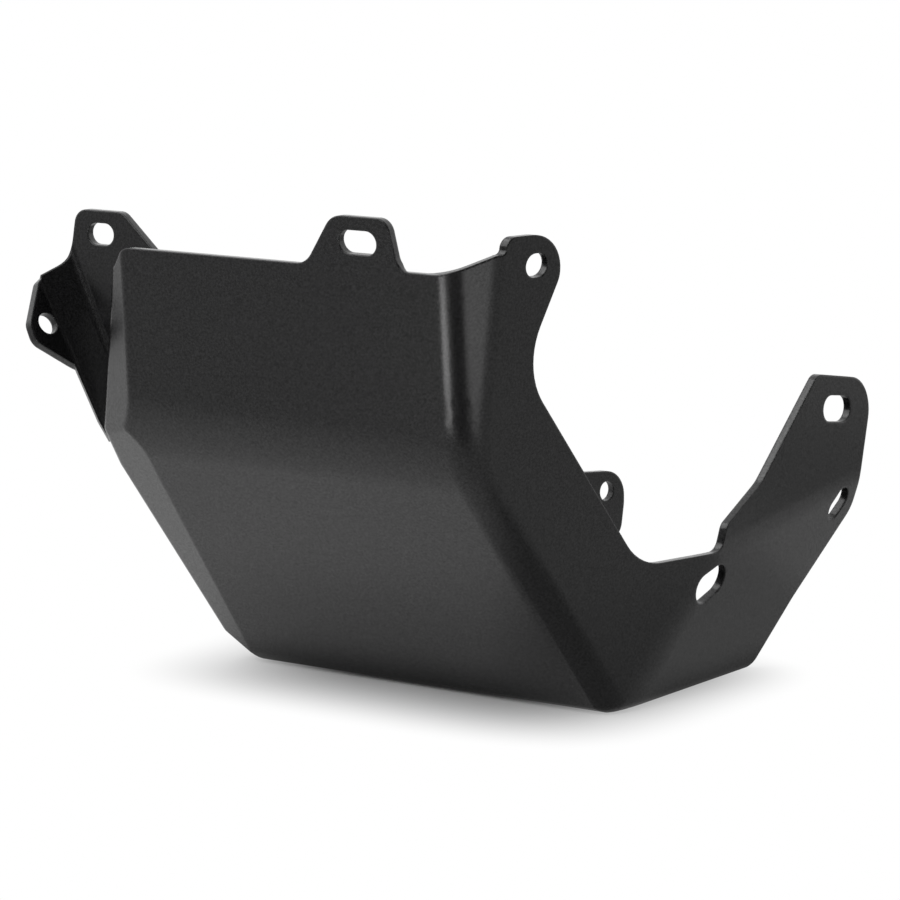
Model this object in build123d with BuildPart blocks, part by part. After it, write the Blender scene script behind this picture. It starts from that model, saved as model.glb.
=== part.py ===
"""Motorcycle skid plate: one sheet folded into a tub, with tabs on its rim and a wing on its left."""

import os
from math import atan2, cos, radians, sin, tan

from build123d import *

# the sheet and the outer radius of its bends
SHEET = 3.2
BEND = 6.0
FRONT_BEND = 13.0
CORNER_BEND = 25.0
FOOT_BEND = 60.0
ARM_BEND = 40.0
KNEE_BEND = 55.0
FLOOR_ROLL = 16.0
WING_BEND = 5.0

# how far the cutting shapes reach: outside the part, past its rim and to each side of the sheet;
# then how near a point is to a plane it lies on
REACH = 300.0
SPARE = 30.0
THROUGH = 8.0
CLOSE = 0.001

# front: it rises from the floor's front edge to the knee, and the brow above it leans forward
FLOOR_FRONT = 0.8
KNEE_Y = -77.74
KNEE_Z = 104.0
BROW_LEAN = 6.1

# right side: two facets meet at the foot, the arm stands on the rear one, and a corner facet joins the brow
FOOT_X = 91.2
FOOT_Y = 9.0
RIGHT_TURN = 76.3
RIGHT_LEAN = 5.0
REAR_LEAN = 15.0
ARM_X = 108.4
ARM_Y = 105.0
ARM_TURN = 87.5
CORNER_X = 85.7
CORNER_Y = -73.7
CORNER_Z = 178.0
CORNER_TURN = 58.0
CORNER_LEAN = 4.0

# left side: a wall, the shoulder that leans in above it, and the brow and cheek facets at the front corner
WALL_X = -102.0
WALL_Y = -66.2
WALL_Z = 89.0
WALL_TURN = 100.0
SHOULDER_LEAN = 16.0
TEMPLE_X = -71.8
TEMPLE_Y = -84.7
TEMPLE_Z = 169.4
TEMPLE_TURN = 25.0
TEMPLE_LEAN = 4.6
CHEEK_X = -77.4
CHEEK_Y = -69.5
CHEEK_Z = 94.8
CHEEK_TURN = 16.2
CHEEK_LEAN = 35.6
TOE_X = -89.0
TOE_Y = -4.0
TOE_Z = 11.5
TOE_LEAN = 49.5

# front rim: a low step at its left end, a tab, then a rise round the right corner towards the right tab
STEP_RIM = 164.0
STEP_X = -75.0
STEP_RUN = 8.0
STEP_ROUND = 8.0
FRONT_RIM = 173.5
FRONT_TAB_TOP = 192.2
FRONT_TAB_LEFT = 27.1
FRONT_TAB_RIGHT = 51.5
FRONT_TAB_LEFT_FLARE = 12.9
FRONT_TAB_RIGHT_FLARE = 3.4
FRONT_TAB_LEFT_ROUND = 8.5
FRONT_TAB_RIGHT_ROUND = 5.5
FRONT_TAB_FOOT_ROUND = 6.5
RISE_X = 72.0
RISE_Y = -85.1
RISE_RUN = 20.5
RISE_DROP = 6.2

# right rim: a tab, a deep cut-out and the arm at the rear
RIGHT_TAB_FRONT = -66.8
RIGHT_TAB_BACK = -41.0
RIGHT_TAB_TOP = 186.2
RIGHT_TAB_TALL = 16.2
RIGHT_TAB_FRONT_ROUND = 4.0
RIGHT_TAB_BACK_ROUND = 14.0
CUT_NECK_Y = -54.6
CUT_NECK_DROP = 48.6
CUT_NECK_ROUND = 28.0
CUT_LOW = 56.4
CUT_FRONT = 10.4
CUT_BACK = 53.0
CUT_ROUND = 10.0
CUT_LOW_ROUND = 24.0
ARM_FOOT_Y = 56.8
ARM_FOOT_Z = 66.0
ARM_KNEE_Y = 80.0
ARM_KNEE_Z = 78.8
ARM_KNEE_ROUND = 18.0
ARM_FRONT = 119.0
ARM_BACK = 160.0
ARM_TOP = 116.2
ARM_TOP_FALL = 6.6
ARM_FRONT_ROUND = 6.0
ARM_BACK_ROUND = 15.0
HEEL_Y = 150.4
HEEL_Z = 58.5
HEEL_ROUND = 11.0
WAIST_Y = 152.2
WAIST_Z = 76.0
WAIST_ROUND = 20.0
SOLE_Y = 120.2
SOLE_Z = 26.3
SOLE_ROUND = 40.0
SOLE_END = 99.5

# left rim: high at the wing, low along the wall, with a tab at the far end
LEFT_SHELF_Y = -30.0
LEFT_SHELF_Z = 92.0
LEFT_LOW_Y = 20.0
LEFT_LOW_Z = 52.0
LEFT_LOW_ROUND = 20.0
FAR_TAB_FRONT = 199.0
FAR_TAB_BACK = 224.9
FAR_TAB_TOP = 49.6
FAR_TAB_FALL = 2.2
FAR_TAB_LOW = 33.0
FAR_TAB_ROUND = 12.0
FAR_NECK_Y = 223.0
FAR_NECK_Z = 20.0
FAR_NECK_ROUND = 8.0

# floor: its rear edge runs slantwise from the foot of the arm to the left wall
FLOOR_BACK_LEFT = 179.0
FLOOR_SLANT_RIGHT = 60.0
FLOOR_SLANT_LEFT = -44.0
FLOOR_ROUND = 30.0
FLOOR_SIDE = 83.0

# wing: a front plate, a slanted web and an end tab
PLATE_X = -118.8
PLATE_Y = -55.0
PLATE_Z = 161.5
WEB_TURN = 48.8
WEB_LEAN = 19.9
TAB_X = -125.3
TAB_Y = -66.9
TAB_Z = 153.4
TAB_TURN = 82.0
TAB_LEAN = 26.4
WING_ROOM = 180.0
WING_REACH = 45.0

# wing outline: the plate's places from the top of its fold, the tab's and the web's in their own planes
PLATE_LEFT = 0.5
PLATE_RIGHT = 22.9
PLATE_TOP = 20.7
PLATE_FOOT = 0.2
PLATE_FLARE = 3.4
PLATE_ROUND = 6.0
PLATE_SLOPE = 41.3
PLATE_LOW = -58.0
PLATE_LOW_RIGHT = 24.0
PLATE_END = 41.5
WING_FALL = 41.3
WEB_LEFT = -14.0
WEB_LOW_LEFT = 4.6
WEB_LOW_RIGHT = 22.0
WEB_LOW = -62.1
WEB_TIP_X = 8.5
WEB_TIP_Y = -70.0
END_TAB_LEFT = -12.4
END_TAB_HIGH = -14.2
END_TAB_LOW = -21.8
END_TAB_TOP_X = -1.8
END_TAB_TOP_Y = 1.6
END_TAB_SLOPE = 30.0
END_TAB_RISE = 36.9
END_TAB_ROUND = 5.5

# bolt holes and slots: place, length, width or bore, and tilt
BOLT_BORE = 8.6
TAB_HOLE_X = -3.9
TAB_HOLE_Y = -15.2
FRONT_SLOT_X = 38.0
FRONT_SLOT_DROP = 9.4
FRONT_SLOT_LONG = 16.5
FRONT_SLOT_WIDE = 8.8
PLATE_SLOT_X = 12.5
PLATE_SLOT_Y = 11.7
PLATE_SLOT_LONG = 12.8
PLATE_SLOT_WIDE = 8.4
RIGHT_SLOT_Y = -52.3
RIGHT_SLOT_DROP = 11.1
RIGHT_SLOT_LONG = 10.4
RIGHT_SLOT_WIDE = 8.8
REAR_SLOT_Y = 50.9
REAR_SLOT_Z = 43.7
REAR_SLOT_LONG = 19.1
REAR_SLOT_WIDE = 12.7
REAR_SLOT_TILT = 21.6
ARM_SLOT_Y = 133.2
ARM_SLOT_Z = 100.9
ARM_SLOT_LONG = 19.9
ARM_SLOT_WIDE = 10.4
ARM_SLOT_TILT = -7.5
HEEL_SLOT_Y = 138.6
HEEL_SLOT_Z = 62.1
HEEL_SLOT_LONG = 14.5
HEEL_SLOT_WIDE = 9.0
HEEL_SLOT_TILT = 46.0
FAR_HOLE_Y = 214.6
FAR_HOLE_Z = 39.6


def facet(x, y, z, turn, lean):
    """Plane of a facet seen from outside: its own x runs level to the right, its own y runs up."""
    t, n = radians(turn), radians(lean)
    outward = (sin(t) * cos(n), -cos(t) * cos(n), sin(n))
    return Plane(origin=(x, y, z), x_dir=(cos(t), sin(t), 0), z_dir=outward)


def spot(side, y, z):
    """Own coordinates of the point of a side facet that lies at the given depth and height."""
    origin, normal = side.origin, side.z_dir
    x = origin.X - ((y - origin.Y) * normal.Y + (z - origin.Z) * normal.Z) / normal.X
    place = side.to_local_coords(Vector(x, y, z))
    return (place.X, place.Y)


def outline(sketch, corners):
    """Face with straight edges between the corners, each corner rounded by its own radius."""
    Polygon(*[(along, up) for along, up, _ in corners], align=None)
    for along, up, rounding in corners:
        if rounding:
            fillet(sketch.vertices().sort_by_distance((along, up))[0], rounding)


brow = facet(0, KNEE_Y, KNEE_Z, 0, -BROW_LEAN)
right_front = facet(FOOT_X, FOOT_Y, 0, RIGHT_TURN, -RIGHT_LEAN)
right_rear = facet(FOOT_X, FOOT_Y, 0, 90, -REAR_LEAN)
arm_face = facet(ARM_X, ARM_Y, 0, ARM_TURN, 0)
corner = facet(CORNER_X, CORNER_Y, CORNER_Z, CORNER_TURN, -CORNER_LEAN)
wall = facet(WALL_X, WALL_Y, WALL_Z, -WALL_TURN, 0)
shoulder = facet(WALL_X, WALL_Y, WALL_Z, -WALL_TURN, SHOULDER_LEAN)
temple = facet(TEMPLE_X, TEMPLE_Y, TEMPLE_Z, -TEMPLE_TURN, -TEMPLE_LEAN)
cheek = facet(CHEEK_X, CHEEK_Y, CHEEK_Z, -CHEEK_TURN, -CHEEK_LEAN)
toe = facet(TOE_X, TOE_Y, TOE_Z, -WALL_TURN, -TOE_LEAN)
sides = [right_front, right_rear, arm_face, corner, wall, shoulder, temple, cheek, toe]
# pairs of facets with a wider bend between them; the brow's runs on over the knee and down the slope
wide_bends = [(right_rear, arm_face, ARM_BEND), (right_front, right_rear, FOOT_BEND),
              (corner, right_front, CORNER_BEND), (brow, corner, FRONT_BEND)]

plate = facet(PLATE_X, PLATE_Y, PLATE_Z, 0, 0)
web = facet(PLATE_X, PLATE_Y, PLATE_Z, WEB_TURN, WEB_LEAN)
tab = facet(TAB_X, TAB_Y, TAB_Z, TAB_TURN, TAB_LEAN)
# the wall's high part ends at the back of the wing's plate, and the rise ends below the right tab's top
wing_back = PLATE_Y + SHEET
rise_rim = RIGHT_TAB_TOP - RISE_DROP


def crease(core, first, second):
    """Edges of the core on which two of its drawn-in facets meet."""
    faces = [first.offset(-BEND), second.offset(-BEND)]
    return [edge for edge in core.edges()
            if all(abs(face.to_local_coords(edge @ end).Z) < CLOSE for face in faces for end in (0, 1))]


def tub_core(roof, back):
    """The room inside the tub, drawn in by the bend radius on every face."""
    with BuildPart() as core:
        with BuildSketch(Plane.YZ) as profile:
            with BuildLine():
                Polyline((FLOOR_FRONT, 0), (KNEE_Y, KNEE_Z),
                         (KNEE_Y - (roof - KNEE_Z) * tan(radians(BROW_LEAN)), roof),
                         (back, roof), (back, 0), close=True)
            make_face()
            fillet(profile.vertices().sort_by_distance((KNEE_Y, KNEE_Z))[0], KNEE_BEND)
            offset(amount=-BEND)
        extrude(amount=REACH, both=True)
        for side in sides:
            split(bisect_by=side.offset(-BEND), keep=Keep.BOTTOM)
        for first, second, radius in wide_bends:
            fillet(crease(core, first, second), radius - BEND)
    return core.part


def tub_room(core, growth):
    """The core grown back towards the sheet, with a wider roll at the floor's front edge."""
    rise = atan2(KNEE_Z, FLOOR_FRONT - KNEE_Y)
    roll_y = FLOOR_FRONT + FLOOR_ROLL * tan(rise / 2)
    low_y = roll_y - 2 * FLOOR_ROLL * sin(rise)
    with BuildPart() as room:
        add(core)
        offset(amount=growth, kind=Kind.ARC)
        with BuildSketch(Plane.YZ) as roll:
            outline(roll, [(roll_y, FLOOR_ROLL, 0), (low_y, FLOOR_ROLL - 2 * FLOOR_ROLL * cos(rise), 0),
                           (low_y, -FLOOR_ROLL, 0), (roll_y, -FLOOR_ROLL, 0)])
            with Locations((roll_y, FLOOR_ROLL)):
                Circle(FLOOR_ROLL - BEND + growth, mode=Mode.SUBTRACT)
        extrude(amount=REACH, both=True, mode=Mode.SUBTRACT)
    return room.part


skin = tub_room(tub_core(FRONT_TAB_TOP + SPARE, FAR_TAB_BACK + SPARE), BEND)
hollow = tub_room(tub_core(FRONT_TAB_TOP + 2 * SPARE, FAR_TAB_BACK + 2 * SPARE), BEND - SHEET)

with BuildPart() as tub:
    add(skin)
    add(hollow, mode=Mode.SUBTRACT)
    # front rim with its tab
    with BuildSketch(Plane.XZ.offset(-wing_back)) as front_rim:
        outline(front_rim, [
            (-REACH, STEP_RIM, 0),
            (STEP_X - STEP_RUN / 2, STEP_RIM, STEP_ROUND),
            (STEP_X + STEP_RUN / 2, FRONT_RIM, STEP_ROUND),
            (FRONT_TAB_LEFT - FRONT_TAB_LEFT_FLARE, FRONT_RIM, FRONT_TAB_LEFT_ROUND),
            (FRONT_TAB_LEFT, FRONT_TAB_TOP, FRONT_TAB_LEFT_ROUND),
            (FRONT_TAB_RIGHT, FRONT_TAB_TOP, FRONT_TAB_RIGHT_ROUND),
            (FRONT_TAB_RIGHT + FRONT_TAB_RIGHT_FLARE, FRONT_RIM, FRONT_TAB_FOOT_ROUND),
            (RISE_X - FRONT_TAB_FOOT_ROUND, FRONT_RIM, 0),
            (RISE_X, RIGHT_TAB_TOP, 0),
            (RISE_X, REACH, 0),
            (-REACH, REACH, 0),
        ])
    extrude(amount=REACH, mode=Mode.SUBTRACT)
    # the rise round the right corner
    with BuildSketch(facet(RISE_X, RISE_Y, 0, CORNER_TURN, 0)) as rise:
        outline(rise, [(-FRONT_TAB_FOOT_ROUND, FRONT_RIM, 0), (0, FRONT_RIM, FRONT_TAB_FOOT_ROUND),
                       (RISE_RUN, rise_rim, 0), (RISE_RUN, REACH, 0), (-FRONT_TAB_FOOT_ROUND, REACH, 0)])
    extrude(amount=RISE_RUN, both=True, mode=Mode.SUBTRACT)
    # right rim with its tab, the cut-out and the arm
    with BuildSketch(Plane.YZ.offset(RISE_X)) as right_rim:
        outline(right_rim, [
            (CORNER_Y, rise_rim, 0),
            (RIGHT_TAB_FRONT, rise_rim, RIGHT_TAB_FRONT_ROUND / 2),
            (RIGHT_TAB_FRONT, RIGHT_TAB_TOP, RIGHT_TAB_FRONT_ROUND),
            (RIGHT_TAB_BACK, RIGHT_TAB_TOP, RIGHT_TAB_BACK_ROUND),
            (RIGHT_TAB_BACK, RIGHT_TAB_TOP - RIGHT_TAB_TALL, CUT_ROUND),
            (CUT_NECK_Y, RIGHT_TAB_TOP - CUT_NECK_DROP, CUT_NECK_ROUND),
            (CUT_FRONT, CUT_LOW, CUT_LOW_ROUND),
            (CUT_BACK, CUT_LOW, CUT_ROUND / 2),
            (ARM_FOOT_Y, ARM_FOOT_Z, CUT_ROUND / 2),
            (ARM_KNEE_Y, ARM_KNEE_Z, ARM_KNEE_ROUND),
            (ARM_FRONT, ARM_TOP, ARM_FRONT_ROUND),
            (ARM_BACK, ARM_TOP - ARM_TOP_FALL, ARM_BACK_ROUND),
            (WAIST_Y, WAIST_Z, WAIST_ROUND),
            (HEEL_Y, HEEL_Z, HEEL_ROUND),
            (SOLE_Y, SOLE_Z, SOLE_ROUND),
            (SOLE_END, 0, 0),
            (SOLE_END, -BEND, 0),
            (REACH, -BEND, 0),
            (REACH, REACH, 0),
            (CORNER_Y, REACH, 0),
        ])
    extrude(amount=REACH, mode=Mode.SUBTRACT)
    # left rim with its far tab
    with BuildSketch(Plane.YZ.offset(FLOOR_SLANT_RIGHT)) as left_rim:
        outline(left_rim, [
            (WALL_Y, STEP_RIM, 0),
            (wing_back, STEP_RIM, 0),
            (wing_back, WALL_Z, SHEET),
            (LEFT_SHELF_Y, LEFT_SHELF_Z, CUT_ROUND),
            (LEFT_LOW_Y, LEFT_LOW_Z, LEFT_LOW_ROUND),
            (FAR_TAB_FRONT - FAR_TAB_ROUND, LEFT_LOW_Z - FAR_NECK_ROUND / 2, FAR_NECK_ROUND),
            (FAR_TAB_FRONT, FAR_TAB_TOP, FAR_NECK_ROUND),
            (FAR_TAB_BACK, FAR_TAB_TOP - FAR_TAB_FALL, FAR_TAB_ROUND),
            (FAR_TAB_BACK, FAR_TAB_LOW, FAR_TAB_ROUND),
            (FAR_NECK_Y, FAR_NECK_Z, FAR_NECK_ROUND),
            (FLOOR_BACK_LEFT, 0, 0),
            (FLOOR_BACK_LEFT, -BEND, 0),
            (REACH, -BEND, 0),
            (REACH, REACH, 0),
            (WALL_Y, REACH, 0),
        ])
    extrude(amount=-REACH, mode=Mode.SUBTRACT)
    # rear edge of the floor
    wall_drift = (REACH - FLOOR_BACK_LEFT) * tan(radians(WALL_TURN - 90))
    with BuildSketch(Plane.XY) as floor_end:
        outline(floor_end, [(FLOOR_SIDE, SOLE_END, 0), (FLOOR_SLANT_RIGHT, SOLE_END, FLOOR_ROUND),
                            (FLOOR_SLANT_LEFT, FLOOR_BACK_LEFT, 0),
                            (FLOOR_SLANT_LEFT + wall_drift, REACH, 0),
                            (FLOOR_SIDE, REACH, 0)])
    extrude(amount=SPARE, both=True, mode=Mode.SUBTRACT)

# the hollow front side of the wing is the room in front of its three plates
with BuildPart() as wing_room:
    with Locations(plate.origin):
        Box(WING_ROOM, WING_ROOM / 2, WING_ROOM)
    for side in (plate, web, tab):
        split(bisect_by=side.offset(WING_BEND), keep=Keep.TOP)

with BuildPart() as wing_front:
    add(wing_room.part)
    offset(amount=WING_BEND, kind=Kind.ARC)

with BuildPart() as wing_outline:
    with BuildSketch(plate) as plate_edge:
        outline(plate_edge, [
            (PLATE_LEFT, PLATE_TOP, PLATE_ROUND),
            (PLATE_RIGHT, PLATE_TOP, PLATE_ROUND),
            (PLATE_END, PLATE_TOP - (PLATE_END - PLATE_RIGHT) * tan(radians(PLATE_SLOPE)), 0),
            (PLATE_LOW_RIGHT, PLATE_LOW, 0),
            (PLATE_LEFT - PLATE_FLARE, PLATE_FOOT, 0),
        ])
    extrude(amount=THROUGH, both=True)
    with BuildSketch(web) as web_edge:
        outline(web_edge, [
            (WING_BEND, WING_BEND, 0),
            (WEB_LEFT, WING_BEND, 0),
            (WEB_LEFT, -2 * WING_BEND, 0),
            (WEB_LOW_LEFT, WEB_LOW, 0),
            (WEB_TIP_X, WEB_TIP_Y, 0),
            (WEB_LOW_RIGHT, WEB_LOW, 0),
        ])
    extrude(amount=THROUGH, both=True)
    with BuildSketch(tab) as tab_edge:
        outline(tab_edge, [
            (END_TAB_LEFT, END_TAB_HIGH, END_TAB_ROUND),
            (END_TAB_LEFT, END_TAB_LOW, END_TAB_ROUND),
            (WING_BEND, END_TAB_LOW - (WING_BEND - END_TAB_LEFT) * tan(radians(END_TAB_RISE)), 0),
            (WING_BEND, END_TAB_TOP_Y + (WING_BEND - END_TAB_TOP_X) * tan(radians(END_TAB_SLOPE)), 0),
            (END_TAB_TOP_X, END_TAB_TOP_Y, END_TAB_ROUND),
        ])
    extrude(amount=THROUGH, both=True)
    # the sloping top edge that all three plates share
    with BuildSketch(plate) as wing_top:
        outline(wing_top, [
            (PLATE_LEFT, PLATE_TOP, 0),
            (PLATE_LEFT - PLATE_FLARE, PLATE_FOOT, PLATE_ROUND),
            (PLATE_LEFT - PLATE_FLARE - WING_REACH, PLATE_FOOT - WING_REACH * tan(radians(WING_FALL)), 0),
            (PLATE_LEFT - PLATE_FLARE - WING_REACH, PLATE_TOP, 0),
        ])
    extrude(amount=WING_REACH, both=True, mode=Mode.SUBTRACT)

with BuildPart() as wing:
    add(wing_room.part)
    offset(amount=WING_BEND + SHEET, kind=Kind.ARC)
    add(wing_front.part, mode=Mode.SUBTRACT)
    add(wing_outline.part, mode=Mode.INTERSECT)

with BuildPart() as sheet:
    add(tub.part)
    add(wing.part)
    with BuildSketch(brow) as front_slot:
        with Locations((FRONT_SLOT_X, (FRONT_TAB_TOP - FRONT_SLOT_DROP - KNEE_Z) / cos(radians(BROW_LEAN)))):
            SlotOverall(FRONT_SLOT_LONG, FRONT_SLOT_WIDE)
    extrude(amount=THROUGH, both=True, mode=Mode.SUBTRACT)
    with BuildSketch(right_front) as right_slot:
        with Locations(spot(right_front, RIGHT_SLOT_Y, RIGHT_TAB_TOP - RIGHT_SLOT_DROP)):
            SlotOverall(RIGHT_SLOT_LONG, RIGHT_SLOT_WIDE)
    extrude(amount=THROUGH, both=True, mode=Mode.SUBTRACT)
    with BuildSketch(right_rear) as rear_slots:
        with Locations(spot(right_rear, REAR_SLOT_Y, REAR_SLOT_Z)):
            SlotOverall(REAR_SLOT_LONG, REAR_SLOT_WIDE, rotation=REAR_SLOT_TILT)
        with Locations(spot(right_rear, HEEL_SLOT_Y, HEEL_SLOT_Z)):
            SlotOverall(HEEL_SLOT_LONG, HEEL_SLOT_WIDE, rotation=HEEL_SLOT_TILT)
    extrude(amount=THROUGH, both=True, mode=Mode.SUBTRACT)
    with BuildSketch(arm_face) as arm_slot:
        with Locations(spot(arm_face, ARM_SLOT_Y, ARM_SLOT_Z)):
            SlotOverall(ARM_SLOT_LONG, ARM_SLOT_WIDE, rotation=ARM_SLOT_TILT)
    extrude(amount=THROUGH, both=True, mode=Mode.SUBTRACT)
    with BuildSketch(wall) as far_hole:
        with Locations(spot(wall, FAR_HOLE_Y, FAR_HOLE_Z)):
            Circle(BOLT_BORE / 2)
    extrude(amount=THROUGH, both=True, mode=Mode.SUBTRACT)
    with BuildSketch(plate) as plate_slot:
        with Locations((PLATE_SLOT_X, PLATE_SLOT_Y)):
            SlotOverall(PLATE_SLOT_LONG, PLATE_SLOT_WIDE)
    extrude(amount=THROUGH, both=True, mode=Mode.SUBTRACT)
    with BuildSketch(tab) as tab_hole:
        with Locations((TAB_HOLE_X, TAB_HOLE_Y)):
            Circle(BOLT_BORE / 2)
    extrude(amount=THROUGH, both=True, mode=Mode.SUBTRACT)

# the finished part stands with the middle of its box over the origin
box = sheet.part.bounding_box()
with BuildPart() as skid_plate:
    with Locations((-box.center().X, -box.center().Y, -box.min.Z)):
        add(sheet.part)

os.makedirs("parts", exist_ok=True)
skid_plate.part.label = "skid_plate"
export_step(skid_plate.part, "parts/skid_plate.step")
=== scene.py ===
"""Looks of the motorcycle skid plate: black powder coat on the folded sheet, under soft studio light."""

from math import radians

import bmesh
import bpy
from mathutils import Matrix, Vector


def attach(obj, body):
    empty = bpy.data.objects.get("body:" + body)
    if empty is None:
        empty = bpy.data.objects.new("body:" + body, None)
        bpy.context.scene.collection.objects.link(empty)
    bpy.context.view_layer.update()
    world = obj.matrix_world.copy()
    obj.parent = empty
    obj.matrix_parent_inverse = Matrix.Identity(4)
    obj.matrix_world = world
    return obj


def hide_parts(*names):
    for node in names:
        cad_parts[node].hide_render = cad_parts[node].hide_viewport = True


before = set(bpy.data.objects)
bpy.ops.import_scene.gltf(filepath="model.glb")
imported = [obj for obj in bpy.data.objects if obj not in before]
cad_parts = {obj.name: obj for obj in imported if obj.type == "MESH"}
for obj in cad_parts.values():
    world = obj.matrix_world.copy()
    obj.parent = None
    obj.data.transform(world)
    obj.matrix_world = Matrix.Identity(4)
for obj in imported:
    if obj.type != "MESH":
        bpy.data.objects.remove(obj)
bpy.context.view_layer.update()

# folded sheet, in metres and degrees: points closer than MERGE are one, faces that turn less than FLAT are one
# face, and a turn of EDGE_ANGLE or more is a cut edge and not a bend
MERGE = 0.000005
FLAT = 0.2
EDGE_ANGLE = 50

# black powder coat: colour, gloss, grain, orange peel, and how far it rounds off a cut edge
COAT_DARK = (0.0030, 0.0030, 0.0032, 1)
COAT_LIGHT = (0.0110, 0.0110, 0.0116, 1)
COAT_ROUGHNESS = 0.25
ROUGHNESS_SWING = 0.08
GLOSS = 0.39
GRAIN_SIZE = 0.0008
GRAIN_DETAIL = 2.0
GRAIN_HEIGHT = 0.00002
GRAIN_LOW = 0.3
GRAIN_HIGH = 0.7
GRAIN_GLOSS = 0.45
GRAIN_MEAN = 0.5
PEEL_SIZE = 0.0026
PEEL_DETAIL = 1.0
PEEL_HEIGHT = 0.00002
HEIGHT_UNIT = 1.0
EDGE_ROUND = 0.0012
EDGE_SAMPLES = 8

# sockets of a Mix node that are only told apart by number when it mixes colours
MIX_FACTOR, MIX_FIRST, MIX_SECOND = 0, 6, 7
MIX_COLOUR = 2

# camera, from where the photograph was taken
CAMERA_AT = (0.90416, -1.32147, 0.3555)
CAMERA_TURN = 35.0
CAMERA_DROP = 9.7
CAMERA_LENS = 164.0
SENSOR = 36.0

# white floor: it shows the shadow round the object, and is plain white to the camera further out
WHITE = (1, 1, 1, 1)
WHITE_LEVEL = 1.0
FLOOR_SIZE = 60.0
FLOOR_COLOUR = (0.9, 0.9, 0.9, 1)
SHADOW = ((0.012, -0.035, 0), (0.125, 0.100, 1), 0.0)

# painted reflection: the floor glows with painted light that only the coat's reflections see, outside the camera's
# view: a plain level, then soft patches of their own level laid on it, each with its middle, its half axes and the
# share of them that is even
PAINTED_REFLECTION_LEVEL = 0.53
PAINTED_REFLECTION_PATCHES = {
    # bright patches (left, front, right) are painted highlights on the coat, front the thin highlight along the
    # front right bend; dim patches (camera, rear, near, foot, heel, under) are painted shade in its reflections,
    # under the dark beneath the object
    "left": (0.77, (-0.60, -0.06, 0), (0.85, 0.28, 1), 0.4),
    "front": (7.0, (0.0, -0.58, 0), (0.10, 0.14, 1), 0.4),
    "camera": (0.15, (0.30, -0.50, 0), (0.20, 0.28, 1), 0.2),
    "right": (2.2, (0.68, -0.30, 0), (0.30, 0.20, 1), 0.4),
    "rear": (0.32, (0.40, 0.43, 0), (0.25, 0.20, 1), 0.3),
    "near": (0.38, (0.06, -0.04, 0), (0.20, 0.085, 1), 0.05),
    "foot": (0.28, (0.13, -0.10, 0), (0.10, 0.06, 1), 0.2),
    "heel": (0.40, (0.14, 0.06, 0), (0.10, 0.08, 1), 0.2),
    "under": (0.03, (0.0, 0.015, 0), (0.115, 0.100, 1), 0.6),
}

# room: white behind the object, which the coat mirrors too, and dim towards the camera
DIM_LEVEL = 0.04
BACKDROP_WAY = (-0.57, 0.82, 0.0)
BACKDROP_FROM = -0.4
BACKDROP_TO = 0.2

# square soft box above the front left
KEY_AT = (-0.40, -0.72, 1.00)
KEY_AIM = (0, -0.03, 0.08)
KEY_SIZE = 1.4
KEY_POWER = 15.0


class Value:
    """A shader socket that takes part in Python sums: each operator adds a Math node."""

    def __init__(self, shader, socket):
        self.shader, self.socket = shader, socket

    def math(self, operation, first, second):
        return self.shader.node("Math", {"operation": operation}, {0: first, 1: second})

    def __add__(self, other):
        return self.math("ADD", self, other)

    def __sub__(self, other):
        return self.math("SUBTRACT", self, other)

    def __rsub__(self, other):
        return self.math("SUBTRACT", other, self)

    def __mul__(self, other):
        return self.math("MULTIPLY", self, other)

    __radd__ = __add__
    __rmul__ = __mul__


class Shader:
    """Node tree of a material or a world, with one method that makes every node."""

    def __init__(self, owner):
        owner.use_nodes = True
        self.tree = owner.node_tree
        self.tree.nodes.clear()

    def node(self, kind, settings=None, inputs=None, output=0):
        made = self.tree.nodes.new("ShaderNode" + kind)
        for name, value in (settings or {}).items():
            setattr(made, name, value)
        for name, value in (inputs or {}).items():
            if isinstance(value, Value):
                self.tree.links.new(value.socket, made.inputs[name])
            else:
                made.inputs[name].default_value = value
        return Value(self, made.outputs[output]) if made.outputs else made


def powder_coat():
    """Satin black coat: fine grain, a slight orange peel, small changes of gloss and rounded cut edges."""
    material = bpy.data.materials.new("powder_coat")
    shader = Shader(material)
    place = shader.node("TexCoord", output="Object")
    grain = shader.node("TexNoise", {}, {"Vector": place, "Scale": 1 / GRAIN_SIZE, "Detail": GRAIN_DETAIL}, "Fac")
    peel = shader.node("TexNoise", {}, {"Vector": place, "Scale": 1 / PEEL_SIZE, "Detail": PEEL_DETAIL}, "Fac")
    speck = shader.node("MapRange", {}, {"Value": grain, "From Min": GRAIN_LOW, "From Max": GRAIN_HIGH})
    colour = shader.node("Mix", {"data_type": "RGBA"},
                         {MIX_FACTOR: speck, MIX_FIRST: COAT_DARK, MIX_SECOND: COAT_LIGHT}, MIX_COLOUR)
    roughness = COAT_ROUGHNESS + (grain - GRAIN_MEAN) * ROUGHNESS_SWING
    height = grain * GRAIN_HEIGHT + peel * PEEL_HEIGHT
    rounded = shader.node("Bevel", {"samples": EDGE_SAMPLES}, {"Radius": EDGE_ROUND})
    bump = shader.node("Bump", {}, {"Height": height, "Distance": HEIGHT_UNIT, "Normal": rounded})
    coat = shader.node("BsdfPrincipled", {}, {"Base Color": colour, "Roughness": roughness, "Normal": bump,
                                              "Specular IOR Level": GLOSS, "Coat Weight": speck * GRAIN_GLOSS,
                                              "Coat Roughness": COAT_ROUGHNESS})
    shader.node("OutputMaterial", {}, {"Surface": coat})
    return material


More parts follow.
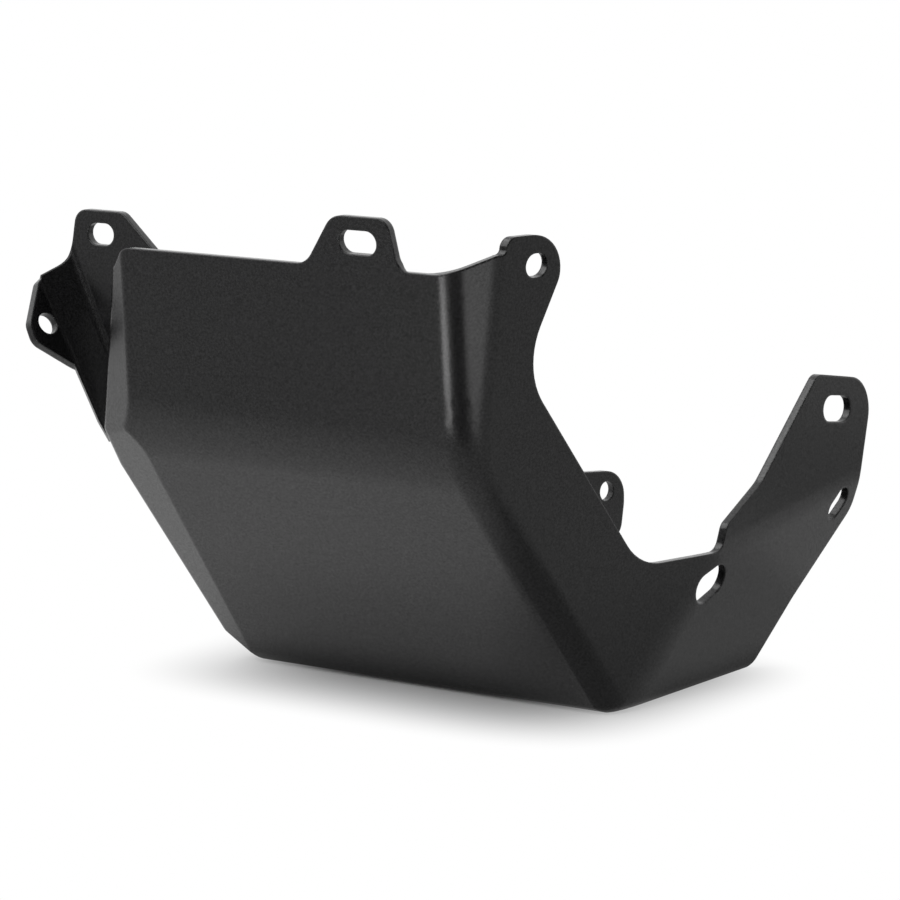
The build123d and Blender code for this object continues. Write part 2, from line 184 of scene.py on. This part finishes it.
def coated_sheet(node):
    """The folded sheet, smooth round its bends and sharp at its cut edges."""
    work = bmesh.new()
    work.from_mesh(node.data)
    bmesh.ops.remove_doubles(work, verts=work.verts, dist=MERGE)
    bmesh.ops.dissolve_limit(work, angle_limit=radians(FLAT), verts=work.verts, edges=work.edges)
    for face in work.faces:
        face.smooth = True
    for edge in work.edges:
        edge.smooth = edge.calc_face_angle(0) < radians(EDGE_ANGLE)
    mesh = bpy.data.meshes.new("coated_sheet")
    work.to_mesh(mesh)
    work.free()
    piece = bpy.data.objects.new("coated_sheet", mesh)
    bpy.context.scene.collection.objects.link(piece)
    weighted = piece.modifiers.new("weighted", "WEIGHTED_NORMAL")
    weighted.keep_sharp = True
    return piece


def patch(shader, place, middle, size, core):
    """Mask on the floor: 0 inside a box with round corners, rising softly to 1 at its rim."""
    aside = shader.node("VectorMath", {"operation": "SUBTRACT"}, {0: place, 1: middle})
    aside = shader.node("VectorMath", {"operation": "DIVIDE"}, {0: aside, 1: size})
    aside = shader.node("VectorMath", {"operation": "MULTIPLY"}, {0: aside, 1: aside})
    reach = shader.node("VectorMath", {"operation": "LENGTH"}, {0: aside}, "Value")
    return shader.node("MapRange", {"interpolation_type": "SMOOTHSTEP"},
                       {"Value": reach, "From Min": core, "From Max": 1.0})


def glow(shader, level):
    """Plain white light of one level."""
    return shader.node("Emission", {}, {"Color": WHITE, "Strength": level})


def white_floor():
    """Pale floor that keeps the object's soft shadow and is plain white to the camera further out; in the coat's
    reflections it shows painted light and painted shade instead.
    """
    material = bpy.data.materials.new("white_floor")
    shader = Shader(material)
    place = shader.node("TexCoord", output="Object")
    paper = shader.node("BsdfDiffuse", {}, {"Color": FLOOR_COLOUR})
    seen = shader.node("LightPath", output="Is Camera Ray")
    far = patch(shader, place, *SHADOW)
    shown = shader.node("MixShader", {}, {0: far * seen, 1: paper, 2: glow(shader, WHITE_LEVEL)})
    # painted reflection: glowing levels in patches, seen only by glossy rays, stand in for the floor's own light
    # and shade in the coat
    painted_reflection = glow(shader, PAINTED_REFLECTION_LEVEL)
    for level, middle, size, core in PAINTED_REFLECTION_PATCHES.values():
        outside = patch(shader, place, middle, size, core)
        painted_reflection = shader.node("MixShader", {}, {0: outside, 1: glow(shader, level), 2: painted_reflection})
    glossy = shader.node("LightPath", output="Is Glossy Ray")
    floor_light = shader.node("MixShader", {}, {0: glossy, 1: shown, 2: painted_reflection})
    shader.node("OutputMaterial", {}, {"Surface": floor_light})
    work = bmesh.new()
    bmesh.ops.create_grid(work, x_segments=1, y_segments=1, size=FLOOR_SIZE / 2)
    mesh = bpy.data.meshes.new("white_floor")
    work.to_mesh(mesh)
    work.free()
    floor = bpy.data.objects.new("white_floor", mesh)
    floor.data.materials.append(material)
    bpy.context.scene.collection.objects.link(floor)


def studio_room():
    """Dim room with a white backdrop, which the camera and the coat see."""
    world = bpy.data.worlds.new("studio")
    bpy.context.scene.world = world
    shader = Shader(world)
    seen = shader.node("LightPath", output="Is Camera Ray")
    glossy = shader.node("LightPath", output="Is Glossy Ray")
    way = shader.node("TexCoord", output="Generated")
    depth = shader.node("VectorMath", {"operation": "DOT_PRODUCT"}, {0: way, 1: BACKDROP_WAY}, "Value")
    behind = shader.node("MapRange", {}, {"Value": depth, "From Min": BACKDROP_FROM, "From Max": BACKDROP_TO})
    dim = shader.node("Background", {}, {"Color": WHITE, "Strength": DIM_LEVEL})
    backdrop = shader.node("Background", {}, {"Color": WHITE, "Strength": WHITE_LEVEL})
    room = shader.node("MixShader", {}, {0: seen + glossy * behind, 1: dim, 2: backdrop})
    shader.node("OutputWorld", {}, {"Surface": room})


def soft_box():
    """The one lamp, a large square turned to the object."""
    lamp = bpy.data.lights.new("key", "AREA")
    lamp.shape = "SQUARE"
    lamp.size = KEY_SIZE
    lamp.energy = KEY_POWER
    holder = bpy.data.objects.new("key", lamp)
    holder.location = KEY_AT
    holder.rotation_euler = (Vector(KEY_AT) - Vector(KEY_AIM)).to_track_quat("Z", "Y").to_euler()
    bpy.context.scene.collection.objects.link(holder)


def photo_camera():
    """Camera at the photograph's angle."""
    lens = bpy.data.cameras.new("camera")
    lens.lens = CAMERA_LENS
    lens.sensor_width = SENSOR
    camera = bpy.data.objects.new("camera", lens)
    camera.location = CAMERA_AT
    camera.rotation_euler = (radians(90 - CAMERA_DROP), 0, radians(CAMERA_TURN))
    bpy.context.scene.collection.objects.link(camera)
    bpy.context.scene.camera = camera


guard = coated_sheet(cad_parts["skid_plate"])
guard.data.materials.append(powder_coat())
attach(guard, "root")
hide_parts("skid_plate")
white_floor()
studio_room()
soft_box()
photo_camera()
bpy.context.scene.view_settings.view_transform = "Standard"
